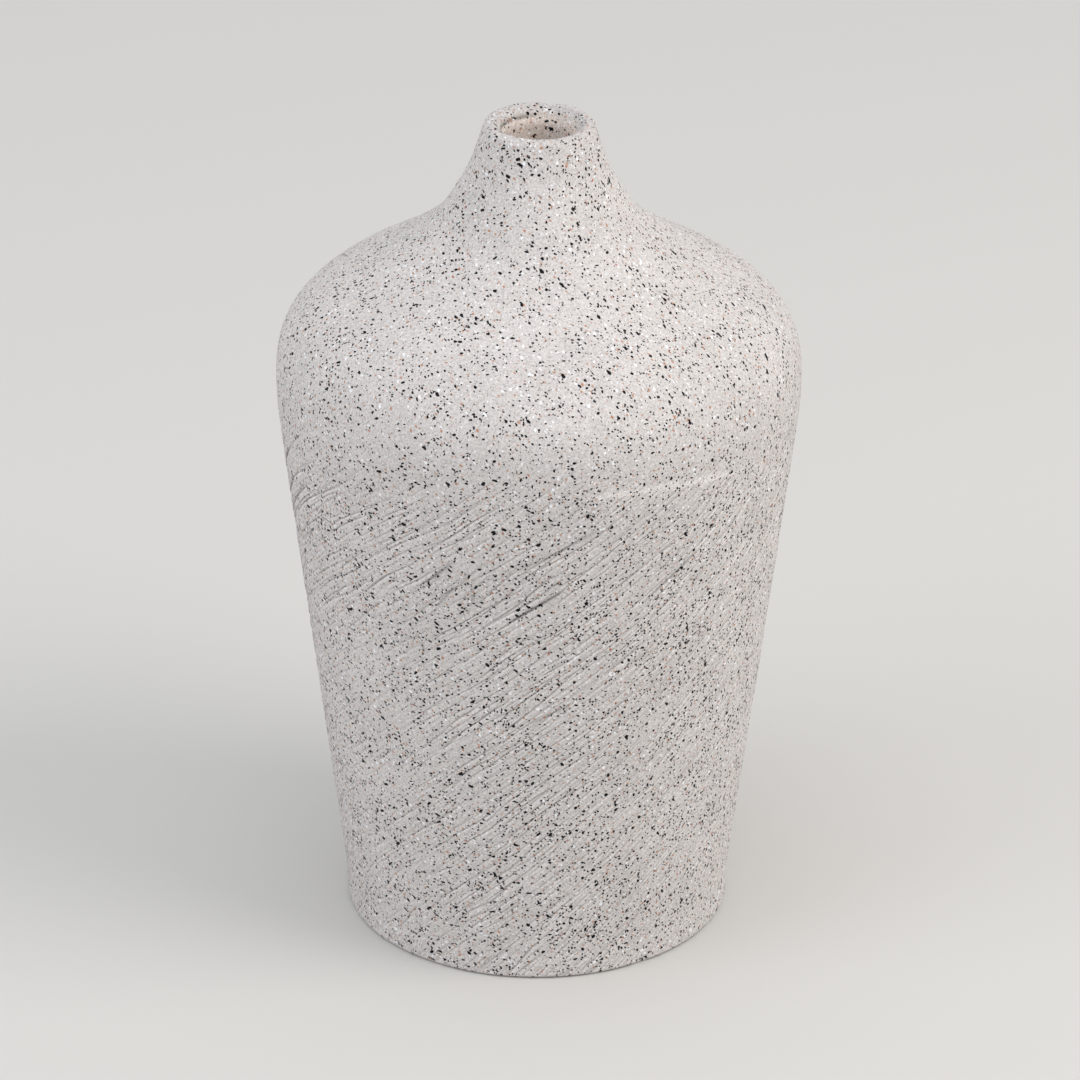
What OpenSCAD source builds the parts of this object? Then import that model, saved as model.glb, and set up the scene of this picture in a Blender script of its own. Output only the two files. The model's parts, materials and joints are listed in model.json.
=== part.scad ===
// Hand-built stoneware vase, 326.5 mm high and 200 mm across.
// A round slab carries three wall courses, a belly course, a shoulder course, a neck and a thick lip.
// Every course sits on the one below in a V-shaped tongue and groove, which the potter scores and
// slips, and a soft coil of clay closes each joint on the inside.
// The origin is the centre of the underside, and +Z runs up the axis of the vase.

/* [Foot] */
// Radius of the base slab, whose edge is the upright band at the foot
foot_r = 74.8; // [72:0.1:78]
// Thickness of the base slab
slab_t = 11; // [9:0.5:13]
// Rounding of the bottom edge
foot_edge_r = 1.8; // [1:0.1:3]

/* [Wall] */
// Thickness of the wall courses
wall_t = 7.5; // [6:0.1:9]
// Height of each of the three wall courses
course_h = 65; // [60:1:70]
// Radius at the top of the lower wall course
lower_r = 83.1; // [81:0.1:85]
// Radius at the top of the middle wall course
middle_r = 91; // [89:0.1:93]
// Radius at the top of the upper wall course
upper_r = 98.9; // [97:0.1:101]

/* [Belly and shoulder] */
// Lean of the wall where the belly begins, in degrees from the horizontal
belly_angle = 84; // [82:0.5:87]
// Roundness of the belly, as a share of the distance that its curve spans
belly_pull = 0.525; // [0.45:0.005:0.55]
// Radius of the joint between the belly and the shoulder
shoulder_r = 67.5; // [65:0.5:70]
// Height of the joint between the belly and the shoulder
shoulder_z = 266.6; // [263:0.1:269]
// Direction of the surface at that joint, in degrees from straight outwards
shoulder_angle = 150; // [147:0.5:153]
// Roundness of the shoulder, as a share of the distance that its curve spans
shoulder_pull = 0.23; // [0.15:0.01:0.35]

/* [Neck and lip] */
// Radius at the root of the neck
neck_r = 36.6; // [34:0.1:39]
// Height of the root of the neck
neck_z = 290.9; // [288:0.1:293]
// Direction of the surface at the root of the neck, in degrees from straight outwards
neck_angle = 121.3; // [118:0.1:126]
// Roundness of the neck, as a share of the distance that its curve spans
neck_pull = 0.48; // [0.4:0.01:0.5]
// Share of the neck's curve that lies below the lip
lip_share = 0.6; // [0.5:0.05:0.65]
// Outer radius of the lip
lip_r = 22.3; // [21.5:0.1:23]
// Direction of the surface just under the lip's rounding, in degrees from straight outwards
lip_angle = 107; // [102:0.5:110]
// Height of the lip's rounding
lip_round_h = 4.9; // [4:0.1:6]
// Roundness of the lip's outer side, as a share of the distance that its curve spans
lip_pull = 0.5; // [0.4:0.01:0.55]
// Radius of the highest ring of the lip
crest_r = 18.2; // [17:0.1:20]
// Depth of the funnel between the highest ring and the straight throat
funnel_h = 7; // [5:0.5:8]
// Roundness of the funnel, as a share of the distance that its curve spans
funnel_pull = 0.28; // [0.2:0.01:0.4]
// Radius of the throat
throat_r = 13.2; // [12.5:0.1:14]
// Height of the vase
vase_h = 326.5; // [324:0.5:330]

/* [Joints] */
// Height of the tongue on the top edge of a course
tongue_h = 2; // [1:0.1:3]
// Width of the tongue, as a share of the wall's thickness
tongue_share = 0.5; // [0.3:0.05:0.7]
// How far a seam coil reaches above and below its joint
coil_reach = 6; // [4:0.5:8]
// How far a seam coil stands proud of the inside wall
coil_proud = 4; // [3:0.5:5]

/* [Hidden] */
$fn = 180;

// Steps along each kind of curve
edge_steps = 6;
belly_steps = 24;
shoulder_steps = 10;
neck_steps = 10;
lip_steps = 8;
coil_steps = 10;
// Steps of a neighbouring curve that a seam coil lies on
belly_coil_steps = 2;
shoulder_coil_steps = 2;
neck_coil_steps = 2;

clay_colour = "#cdc8c0";
scraped_colour = "#c4beb5";
coil_colour = "#b49c86";

// Joints on the outside of the wall, as radius and height
slab_out = [foot_r, slab_t];
lower_out = [lower_r, slab_t + course_h];
middle_out = [middle_r, slab_t + 2 * course_h];
upper_out = [upper_r, slab_t + 3 * course_h];
shoulder_out = [shoulder_r, shoulder_z];
neck_out = [neck_r, neck_z];
lip_out = [lip_r, vase_h - lip_round_h];
crest = [crest_r, vase_h];
throat_top = [throat_r, vase_h - funnel_h];

// The same joints on the inside of the wall
slab_in = slab_out - [wall_t, 0];
lower_in = lower_out - [wall_t, 0];
middle_in = middle_out - [wall_t, 0];
upper_in = upper_out - [wall_t, 0];
shoulder_in = inward(shoulder_out, shoulder_angle);
neck_in = inward(neck_out, neck_angle);

// Outer and inner curves of the belly, the shoulder and the neck, from the bottom up
belly_curve_out = curve(upper_out, shoulder_out, belly_angle, shoulder_angle, belly_pull,
    0, 1, belly_steps);
belly_curve_in = curve(upper_in, shoulder_in, belly_angle, shoulder_angle, belly_pull,
    0, 1, belly_steps);
shoulder_curve_out = curve(shoulder_out, neck_out, shoulder_angle, neck_angle, shoulder_pull,
    0, 1, shoulder_steps);
shoulder_curve_in = curve(shoulder_in, neck_in, shoulder_angle, neck_angle, shoulder_pull,
    0, 1, shoulder_steps);
neck_curve_out = curve(neck_out, lip_out, neck_angle, lip_angle, neck_pull,
    0, lip_share, neck_steps);
lip_curve_out = curve(neck_out, lip_out, neck_angle, lip_angle, neck_pull,
    lip_share, 1, lip_steps);
lip_joint_out = neck_curve_out[neck_steps];
lip_joint_in = [throat_r, lip_joint_out[1]];
neck_curve_in = curve(neck_in, lip_joint_in, neck_angle, 90, neck_pull, 0, 1, neck_steps);

// Unit step in a direction, where 0 degrees points outwards and 90 degrees points up
function heading(angle) = [cos(angle), sin(angle)];

// Point one wall thickness inside a point of the outer surface, whose direction is given
function inward(at, angle) = at + wall_t * heading(angle + 90);

// Point on the cubic curve with the four given controls, at share s of the way
function cubic(a, b, c, d, s) =
    a * pow(1 - s, 3) + 3 * b * s * pow(1 - s, 2) + 3 * c * pow(s, 2) * (1 - s) + d * pow(s, 3);

// Points of the part from share low to share high of a smooth curve between two joints, which
// leaves the first and reaches the second at the given angles
function curve(start, end, start_angle, end_angle, pull, low, high, steps) =
    let (reach = pull * norm(end - start),
        after = start + reach * heading(start_angle),
        before = end - reach * heading(end_angle))
    [for (i = [0:steps]) cubic(start, after, before, end, low + (high - low) * i / steps)];

// Points of an elliptical quarter turn round a centre, with the angles that it runs between
function turn(centre, reach_r, reach_z, from, to, steps) =
    [for (i = [0:steps]) let (a = from + (to - from) * i / steps)
        centre + [reach_r * cos(a), reach_z * sin(a)]];

// The joint between two courses, from its outer to its inner edge, with the V tongue upwards
function joint(outside, inside) =
    let (across = inside - outside,
        up = [across[1], -across[0]] / norm(across))
    [outside,
        outside + across * (1 - tongue_share) / 2,
        outside + across / 2 + up * tongue_h,
        outside + across * (1 + tongue_share) / 2,
        inside];

function reversed(points) = [for (i = [len(points) - 1:-1:0]) points[i]];

// Every point but the first and the last, which the neighbouring lists already hold
function inner_points(points) = [for (i = [1:len(points) - 2]) points[i]];

// Point a given distance from start on the straight line towards end
function towards(start, end, distance) = start + distance * (end - start) / norm(end - start);

// Ring of clay between a lower and an upper joint, whose outer and inner curves run upwards
module course(lower_joint, outer_curve, upper_joint, inner_curve) {
    rotate_extrude()
        polygon(concat(reversed(lower_joint), inner_points(outer_curve), upper_joint,
            inner_points(reversed(inner_curve))));
}

// Half-round coil pressed onto the inside of the wall, along points that run upwards
module seam_coil(wall_points) {
    low = wall_points[0];
    high = wall_points[len(wall_points) - 1];
    middle = (low + high) / 2;
    up = (high - low) / 2;
    out_of_wall = coil_proud * [-up[1], up[0]] / norm(up);
    rotate_extrude()
        polygon(concat(wall_points, [for (i = [1:coil_steps - 1]) let (a = 180 * i / coil_steps)
            middle + up * cos(a) + out_of_wall * sin(a)]));
}

module base_slab() {
    color(clay_colour)
        rotate_extrude()
            polygon(concat([[0, 0]],
                turn([foot_r - foot_edge_r, foot_edge_r], foot_edge_r, foot_edge_r, -90, 0, edge_steps),
                joint(slab_out, slab_in), [[0, slab_t]]));
}

// The corner coil is a quarter-round bead, from the wall round to the floor
module base_seam_coil() {
    wall_run = lower_in - slab_in;
    color(coil_colour)
        rotate_extrude()
            polygon(concat([slab_in], turn(slab_in, coil_reach, coil_reach,
                atan2(wall_run[1], wall_run[0]), 180, coil_steps)));
}

module lower_wall() {
    color(scraped_colour)
        course(joint(slab_out, slab_in), [slab_out, lower_out],
            joint(lower_out, lower_in), [slab_in, lower_in]);
}

module lower_seam_coil() {
    color(coil_colour)
        seam_coil([towards(lower_in, slab_in, coil_reach), lower_in,
            towards(lower_in, middle_in, coil_reach)]);
}

module middle_wall() {
    color(scraped_colour)
        course(joint(lower_out, lower_in), [lower_out, middle_out],
            joint(middle_out, middle_in), [lower_in, middle_in]);
}

module middle_seam_coil() {
    color(coil_colour)
        seam_coil([towards(middle_in, lower_in, coil_reach), middle_in,
            towards(middle_in, upper_in, coil_reach)]);
}

module upper_wall() {
    color(scraped_colour)
        course(joint(middle_out, middle_in), [middle_out, upper_out],
            joint(upper_out, upper_in), [middle_in, upper_in]);
}

module belly_seam_coil() {
    color(coil_colour)
        seam_coil(concat([towards(upper_in, middle_in, coil_reach)],
            [for (i = [0:belly_coil_steps]) belly_curve_in[i]]));
}

module belly() {
    color(clay_colour)
        course(joint(upper_out, upper_in), belly_curve_out,
            joint(shoulder_out, shoulder_in), belly_curve_in);
}

module shoulder_seam_coil() {
    color(coil_colour)
        seam_coil(concat(
            [for (i = [belly_steps - belly_coil_steps:belly_steps]) belly_curve_in[i]],
            [for (i = [1:shoulder_coil_steps]) shoulder_curve_in[i]]));
}

module shoulder() {
    color(clay_colour)
        course(joint(shoulder_out, shoulder_in), shoulder_curve_out,
            joint(neck_out, neck_in), shoulder_curve_in);
}

module neck_seam_coil() {
    color(coil_colour)
        seam_coil(concat(
            [for (i = [shoulder_steps - shoulder_coil_steps:shoulder_steps]) shoulder_curve_in[i]],
            [for (i = [1:neck_coil_steps]) neck_curve_in[i]]));
}

module neck() {
    color(clay_colour)
        course(joint(neck_out, neck_in), neck_curve_out,
            joint(lip_joint_out, lip_joint_in), neck_curve_in);
}

// The lip is rounded over to its crest, and funnels down from there into the straight throat
module lip() {
    rounding = curve(lip_out, crest, lip_angle, 180, lip_pull, 0, 1, lip_steps);
    funnel = curve(crest, throat_top, 180, 270, funnel_pull, 0, 1, lip_steps);
    color(clay_colour)
        rotate_extrude()
            polygon(concat(reversed(joint(lip_joint_out, lip_joint_in)),
                inner_points(lip_curve_out), rounding, inner_points(funnel), [throat_top]));
}

base_slab();
base_seam_coil();
lower_wall();
lower_seam_coil();
middle_wall();
middle_seam_coil();
upper_wall();
belly_seam_coil();
belly();
shoulder_seam_coil();
shoulder();
neck_seam_coil();
neck();
lip();
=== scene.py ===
"""Hand-built stoneware vase: the clay surfaces, their speckled finish and a plain studio round them.

Every length is in metres. An angle round the vase is 0 at the front, which faces -Y, and grows
towards +X. The clay's cross-section is followed by one walk, measured in metres along the surface:
from the middle of the underside, up the outside, over the lip, down the throat and the inside wall
and back to the middle of the floor inside. Each piece of clay is the stretch of that walk between
its joints, carried once round the axis.
"""

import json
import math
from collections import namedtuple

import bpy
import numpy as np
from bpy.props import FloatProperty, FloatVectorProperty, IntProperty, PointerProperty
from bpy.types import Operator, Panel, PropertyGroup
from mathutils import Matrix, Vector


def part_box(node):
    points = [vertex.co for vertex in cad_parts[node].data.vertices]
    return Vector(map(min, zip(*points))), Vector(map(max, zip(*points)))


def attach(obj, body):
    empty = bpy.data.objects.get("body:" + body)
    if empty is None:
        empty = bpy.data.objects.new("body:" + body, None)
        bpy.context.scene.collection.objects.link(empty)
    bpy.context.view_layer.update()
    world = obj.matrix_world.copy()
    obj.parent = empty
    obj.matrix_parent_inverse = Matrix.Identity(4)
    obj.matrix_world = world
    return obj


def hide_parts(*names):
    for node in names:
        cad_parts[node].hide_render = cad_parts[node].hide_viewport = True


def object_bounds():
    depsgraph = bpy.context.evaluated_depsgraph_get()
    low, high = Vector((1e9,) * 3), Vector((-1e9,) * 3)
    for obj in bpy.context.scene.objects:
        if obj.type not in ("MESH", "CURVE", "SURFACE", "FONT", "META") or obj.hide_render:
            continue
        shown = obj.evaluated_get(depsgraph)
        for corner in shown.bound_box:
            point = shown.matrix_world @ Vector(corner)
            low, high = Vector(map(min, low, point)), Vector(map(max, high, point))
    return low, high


bl_info = {
    "name": "Stoneware Vase",
    "version": (1, 0, 0),
    "blender": (4, 5, 0),
    "location": "View3D > Sidebar > Vase",
    "description": "Builds a hand-built stoneware vase with a scraped wall and speckled clay",
    "category": "Add Mesh",
}

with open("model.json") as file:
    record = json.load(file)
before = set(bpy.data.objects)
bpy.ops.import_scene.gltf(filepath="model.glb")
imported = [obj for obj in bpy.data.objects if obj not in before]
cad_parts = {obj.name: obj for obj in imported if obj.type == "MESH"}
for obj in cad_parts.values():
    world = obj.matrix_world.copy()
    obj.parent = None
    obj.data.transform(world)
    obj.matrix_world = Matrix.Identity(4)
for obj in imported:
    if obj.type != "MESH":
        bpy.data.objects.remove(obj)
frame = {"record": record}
CAD_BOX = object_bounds()

MM = 0.001
TURN = 2 * math.pi

# The pieces that stand on each other, from the foot up; each joint lies under the one named
COURSES = ("lower_wall", "middle_wall", "upper_wall", "belly", "shoulder", "neck")
SMOOTH_SLOT = "smooth_stoneware"
SCRAPED_SLOT = "scraped_stoneware"
THROAT_SLOT = "throat_stoneware"

# Steps of the walk along the cross-section, points on each curve of it, and steps to each side over
# which its normals are averaged
WALK_STEP = 0.1 * MM
CURVE_POINTS = 200
SOFT_STEPS = 7

# Radius of the smallest ring round the axis, under the slab and inside, and how far in from the
# foot's edge the fine rows under the slab start
POLE_RING = 4 * MM
FINE_UNDER = 6 * MM


# Settings

class VaseShape(PropertyGroup):
    """Curves of the wall that the frame's boxes don't give."""

    wall: FloatProperty(
        name="Wall", description="Thickness of the wall", default=7.5 * MM, unit="LENGTH")
    foot_edge: FloatProperty(
        name="Foot edge", description="Rounding of the bottom edge", default=1.8 * MM, unit="LENGTH")
    belly_angle: FloatProperty(
        name="Belly lean", description="Lean of the wall where the belly begins, from the horizontal",
        default=math.radians(84), subtype="ANGLE")
    belly_pull: FloatProperty(
        name="Belly roundness", description="Handle length as a share of the belly's chord",
        default=0.525, subtype="FACTOR")
    shoulder_angle: FloatProperty(
        name="Shoulder direction", description="Direction of the surface where the shoulder begins",
        default=math.radians(150), subtype="ANGLE")
    shoulder_pull: FloatProperty(
        name="Shoulder roundness", description="Handle length as a share of the shoulder's chord",
        default=0.23, subtype="FACTOR")
    neck_angle: FloatProperty(
        name="Neck direction", description="Direction of the surface at the root of the neck",
        default=math.radians(121.3), subtype="ANGLE")
    neck_pull: FloatProperty(
        name="Neck roundness", description="Handle length as a share of the neck's chord",
        default=0.48, subtype="FACTOR")
    lip_share: FloatProperty(
        name="Lip share", description="Share of the neck's curve that lies below the lip",
        default=0.6, subtype="FACTOR")
    lip_radius: FloatProperty(
        name="Lip radius", description="Radius where the lip starts to round over",
        default=22.3 * MM, unit="LENGTH")
    lip_angle: FloatProperty(
        name="Lip direction", description="Direction of the surface where the lip rounds over",
        default=math.radians(107), subtype="ANGLE")
    lip_round: FloatProperty(
        name="Lip rounding", description="Height of the lip's rounding", default=4.9 * MM, unit="LENGTH")
    lip_pull: FloatProperty(
        name="Lip roundness", description="Handle length as a share of the chord of the lip's outer side",
        default=0.5, subtype="FACTOR")
    crest_radius: FloatProperty(
        name="Crest radius", description="Radius of the highest ring of the lip",
        default=18.2 * MM, unit="LENGTH")
    funnel: FloatProperty(
        name="Funnel", description="Depth of the funnel between the crest and the straight throat",
        default=7 * MM, unit="LENGTH")
    funnel_pull: FloatProperty(
        name="Funnel roundness", description="Handle length as a share of the funnel's chord",
        default=0.28, subtype="FACTOR")
    tongue: FloatProperty(
        name="Tongue", description="Height of the V tongue in a joint", default=2 * MM, unit="LENGTH")
    tongue_share: FloatProperty(
        name="Tongue share", description="Width of the tongue as a share of the wall",
        default=0.5, subtype="FACTOR")
    coil_reach: FloatProperty(
        name="Coil reach", description="How far a seam coil reaches to each side of its joint",
        default=6 * MM, unit="LENGTH")
    coil_proud: FloatProperty(
        name="Coil height", description="How far a seam coil stands out from the inside wall",
        default=4 * MM, unit="LENGTH")


class VaseSurface(PropertyGroup):
    """How finely the surface is made, and how strongly the hand marks show."""

    wall_columns: IntProperty(
        name="Wall columns", description="Points round the vase on the walls and the belly",
        default=1440, min=120)
    columns: IntProperty(
        name="Columns", description="Points round the vase on the other outer pieces",
        default=960, min=120)
    row_gap: FloatProperty(
        name="Row gap", description="Distance between rows of points on the walls and the belly",
        default=1.5 * MM, unit="LENGTH")
    fine_gap: FloatProperty(
        name="Fine row gap", description="Distance between rows on the foot, shoulder, neck and lip",
        default=0.5 * MM, unit="LENGTH")
    inner_gap: FloatProperty(
        name="Inner row gap", description="Distance between rows inside and underneath",
        default=8 * MM, unit="LENGTH")
    lean: FloatProperty(
        name="Scraper turn", description="Radians that a scraper mark turns as it climbs a metre",
        default=13.4, min=5, max=40)
    scrape_depth: FloatProperty(
        name="Scraper depth", description="Depth of the deepest scraper marks", default=0.8 * MM,
        unit="LENGTH")
    scrape_top: FloatProperty(
        name="Scraped up to", description="Height where the scraper marks fade out", default=226 * MM,
        unit="LENGTH")
    lump: FloatProperty(
        name="Lumps", description="Height of the slow lumps that hands leave", default=0.3 * MM,
        unit="LENGTH")
    coil_columns: IntProperty(
        name="Coil columns", description="Points round each seam coil", default=300, min=60)


class VaseColours(PropertyGroup):
    """Colours of the clay and of the grains in it."""

    clay: FloatVectorProperty(
        name="Clay", description="Fired clay outside", subtype="COLOR", size=4,
        default=(0.635, 0.602, 0.589, 1), min=0, max=1)
    throat: FloatVectorProperty(
        name="Throat", description="Bare clay inside", subtype="COLOR", size=4,
        default=(0.74, 0.655, 0.60, 1), min=0, max=1)
    dark: FloatVectorProperty(
        name="Dark grains", description="Black grog", subtype="COLOR", size=4,
        default=(0.005, 0.0055, 0.008, 1), min=0, max=1)
    rust: FloatVectorProperty(
        name="Rust grains", description="Iron grains", subtype="COLOR", size=4,
        default=(0.46, 0.22, 0.13, 1), min=0, max=1)
    white: FloatVectorProperty(
        name="White grains", description="Pale grog", subtype="COLOR", size=4,
        default=(0.95, 0.96, 1, 1), min=0, max=1)


class StudioSettings(PropertyGroup):
    """Camera, lights and floor."""

    camera_back: FloatProperty(
        name="Camera distance", description="Distance of the camera in front of the axis",
        default=2.2537, unit="LENGTH")
    camera_height: FloatProperty(
        name="Camera height", description="Height of the camera", default=1.2773, unit="LENGTH")
    camera_pitch: FloatProperty(
        name="Camera pitch", description="How far the camera looks down",
        default=math.radians(26.538), subtype="ANGLE")
    camera_yaw: FloatProperty(
        name="Camera yaw", description="How far the camera looks past the axis, towards +X",
        default=math.radians(0.0184), subtype="ANGLE")
    camera_roll: FloatProperty(
        name="Camera roll", description="Tilt of the camera to its left",
        default=math.radians(0.196), subtype="ANGLE")
    lens: FloatProperty(
        name="Focal length", description="Focal length on a 36 mm sensor, in millimetres", default=218.3)
    key_power: FloatProperty(
        name="Key power", description="Power of the large warm light on the right, in watts", default=27)
    fill_power: FloatProperty(
        name="Fill power", description="Power of the cool light on the left, in watts", default=12)
    top_power: FloatProperty(
        name="Top power", description="Power of the light overhead, in watts", default=5)
    ambient: FloatProperty(
        name="Ambient", description="Strength of the light from all round", default=0.74)
    floor_colour: FloatVectorProperty(
        name="Floor", description="Floor colour", subtype="COLOR", size=4,
        default=(0.66, 0.65, 0.63, 1), min=0, max=1)
    floor_size: FloatProperty(
        name="Floor size", description="Width of the floor", default=160, unit="LENGTH")


# Cross-section of the clay

Walk = namedtuple("Walk", "length points normals marks crown")


def heading(angle):
    """Unit step as radius and height, where 0 points outwards and a quarter turn points up."""
    return np.array((math.cos(angle), math.sin(angle)))


def line(start, end):
    """Straight line between two points, in even steps."""
    return np.linspace(start, end, CURVE_POINTS)


def cubic(start, end, start_angle, end_angle, pull, low=0.0, high=1.0):
    """The part from share low to share high of a Bezier cubic between two points. Its handles
    leave along the two headings, and each is pull times the chord long."""
    reach = pull * np.linalg.norm(end - start)
    after = start + reach * heading(start_angle)
    before = end - reach * heading(end_angle)
    s = np.linspace(low, high, CURVE_POINTS)[:, None]
    return (start * (1 - s) ** 3 + 3 * after * s * (1 - s) ** 2
            + 3 * before * s ** 2 * (1 - s) + end * s ** 3)


def elbow(centre, radius, low, high):
    """Arc round a centre: centre + radius (cos a, sin a)."""
    a = np.linspace(low, high, CURVE_POINTS)
    return np.stack((centre[0] + radius * np.cos(a), centre[1] + radius * np.sin(a)), axis=1)


def lengths(points):
    """Length along a line of points up to each of them: the sum of the steps before it."""
    steps = np.linalg.norm(np.diff(points, axis=0), axis=1)
    return np.concatenate(((0,), np.cumsum(steps)))


def joints(shape):
    """Outer ends of the joints, as radius and height, from the frame's boxes. The shoulder and
    the neck start with a slanting joint, whose inner end is the lowest point of the piece."""
    boxes = {name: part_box(name) for name in ("base_slab", *COURSES, "lip")}
    ends = []
    for below, above in zip(("base_slab", *COURSES[:3]), COURSES[:4]):
        ends.append(np.array((boxes[below][1].x, boxes[above][0].z)))
    for name, angle in (("shoulder", shape.shoulder_angle), ("neck", shape.neck_angle)):
        low, high = boxes[name]
        ends.append(np.array((high.x, low.z - shape.wall * heading(angle + TURN / 4)[1])))
    ends.append(np.array((boxes["lip"][1].x, boxes["lip"][0].z)))
    return ends


def throat_radius():
    """Radius of the bore that the record's mouth mount gives."""
    mouth = next(m for m in frame["record"]["mounts"] if m["name"] == "mouth")
    return mouth["dims"]["r_mm"] * MM


def walk_clay(shape):
    """Follows the clay's cross-section and returns the walk: length along it, points, normals that
    point out of the clay, the marks of the joints, and where the lip rounds over, has its crest and
    turns into the straight throat.

    Marks 0 to 6 are the outer ends of the joints going up, and 7 to 13 the inner ends going down.
    The wall courses are cubics whose directions agree at each joint, so the surface has no kink."""
    slab, lower, middle, upper, shoulder, neck, lip_joint = joints(shape)
    aside = np.array((shape.wall, 0))
    shoulder_in = shoulder + shape.wall * heading(shape.shoulder_angle + TURN / 4)
    neck_in = neck + shape.wall * heading(shape.neck_angle + TURN / 4)
    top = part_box("lip")[1].z
    throat = throat_radius()
    lip_out = np.array((shape.lip_radius, top - shape.lip_round))
    crest = np.array((shape.crest_radius, top))
    throat_top = np.array((throat, top - shape.funnel))
    lip_joint_in = np.array((throat, lip_joint[1]))

    leans = [math.atan2(*(b - a)[::-1]) for a, b in ((slab, lower), (lower, middle), (middle, upper))]
    turns = [leans[0], (leans[0] + leans[1]) / 2, (leans[1] + leans[2]) / 2, shape.belly_angle]
    wall_ends = (slab, lower, middle, upper)
    walls = [cubic(wall_ends[i], wall_ends[i + 1], turns[i], turns[i + 1], 1 / 3) for i in range(3)]
    curved = (
        (upper, shoulder, shape.belly_angle, shape.shoulder_angle, shape.belly_pull),
        (shoulder, neck, shape.shoulder_angle, shape.neck_angle, shape.shoulder_pull),
    )
    neck_curve = (neck, lip_out, shape.neck_angle, shape.lip_angle, shape.neck_pull)
    foot = np.array((slab[0] - shape.foot_edge, shape.foot_edge))

    underside = (
        line((0, 0), (foot[0], 0)),
        elbow(foot, shape.foot_edge, -TURN / 4, 0),
        line((slab[0], foot[1]), slab))
    rim = (
        cubic(*neck_curve, shape.lip_share, 1),
        cubic(lip_out, crest, shape.lip_angle, TURN / 2, shape.lip_pull),
        cubic(crest, throat_top, TURN / 2, 3 * TURN / 4, shape.funnel_pull),
        line(throat_top, lip_joint_in))
    inside = (
        cubic(neck_in, lip_joint_in, shape.neck_angle, TURN / 4, shape.neck_pull),
        cubic(shoulder_in, neck_in, *curved[1][2:]),
        cubic(upper - aside, shoulder_in, *curved[0][2:]),
        *(w - aside for w in reversed(walls)))
    stretches = [
        np.concatenate(underside), *walls, *(cubic(*c) for c in curved),
        cubic(*neck_curve, 0, shape.lip_share), np.concatenate(rim),
        *(c[::-1] for c in inside), line(slab - aside, (0, slab[1]))]

    marks = np.cumsum([lengths(s)[-1] for s in stretches])[:-1]
    crown = marks[6] + np.cumsum([lengths(part)[-1] for part in rim[:3]])
    path = np.concatenate(stretches)
    along = lengths(path)
    length = np.linspace(0, along[-1], round(along[-1] / WALK_STEP))
    keep = np.concatenate(((True,), np.diff(along) > 0))
    points = np.stack([np.interp(length, along[keep], path[keep, i]) for i in (0, 1)], axis=1)
    forward = np.gradient(points, axis=0)
    normals = np.stack((forward[:, 1], -forward[:, 0]), axis=1)
    width = 2 * SOFT_STEPS + 1
    padded = (np.pad(n, SOFT_STEPS, "edge") for n in normals.T)
    normals = np.stack([np.convolve(n, np.ones(width) / width, "valid") for n in padded], axis=1)
    normals /= np.linalg.norm(normals, axis=1, keepdims=True)
    return Walk(length, points, normals, marks, crown)


# Marks that hands and tools leave in the clay

# Girth of the wall half-way up, and width of the steep side of a scraper mark
WALL_GIRTH = TURN * 91 * MM
STEEP_SIDE = 0.8 * MM

# Rows of random values after which a noise repeats, and strokes after which a strip repeats
NOISE_ROWS = 128
STROKES = 32

# Chips out of the lip: angle in degrees; place, which is 0 where the lip rounds over, 1 on its
# crest and 2 where the funnel ends; and depth, half width and half height in millimetres
CHIPS = (
    (168, 0.9, 1.3, 1.7, 3.8),
    (176, 0.8, 0.6, 0.8, 3.0),
    (-142, 0.7, 1.0, 1.2, 2.4),
    (117, 0.55, 0.8, 1.4, 1.6),
    (47, 1.5, 0.3, 1.0, 0.7),
)

# Ledge inside the lip: its place as a share of the funnel, and how far below it lies a small dip, which is
# also darkened with painted shade
LEDGE_SHARE = 0.42
LEDGE_DROP = 1.6 * MM

# Heights above the top of the scraping between which the turn of the columns levels off
TURN_ENDS = (-26 * MM, 34 * MM)


def smooth(x):
    """Smooth step from 0 to 1: 3x^2 - 2x^3 of x kept between 0 and 1."""
    x = np.clip(x, 0, 1)
    return x * x * (3 - 2 * x)


def wrapped(angle):
    """The same angle between minus and plus half a turn."""
    return (angle + TURN / 2) % TURN - TURN / 2


def noise(theta, along, around, cell, seed):
    """Smooth noise from -1 to 1 on the unrolled wall. Random values stand at the corners of a net
    with a whole number of cells round the vase, and are blended by smooth steps between them."""
    corners = np.random.default_rng(seed).uniform(-1, 1, (around, NOISE_ROWS))
    u = theta / TURN * around
    v = along / cell
    column, row = np.floor(u).astype(int), np.floor(v).astype(int)
    across, up = smooth(u - column), smooth(v - row)
    near, far = column % around, (column + 1) % around
    low, high = row % NOISE_ROWS, (row + 1) % NOISE_ROWS
    bottom = corners[near, low] * (1 - across) + corners[far, low] * across
    upper = corners[near, high] * (1 - across) + corners[far, high] * across
    return bottom * (1 - up) + upper * up


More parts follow.
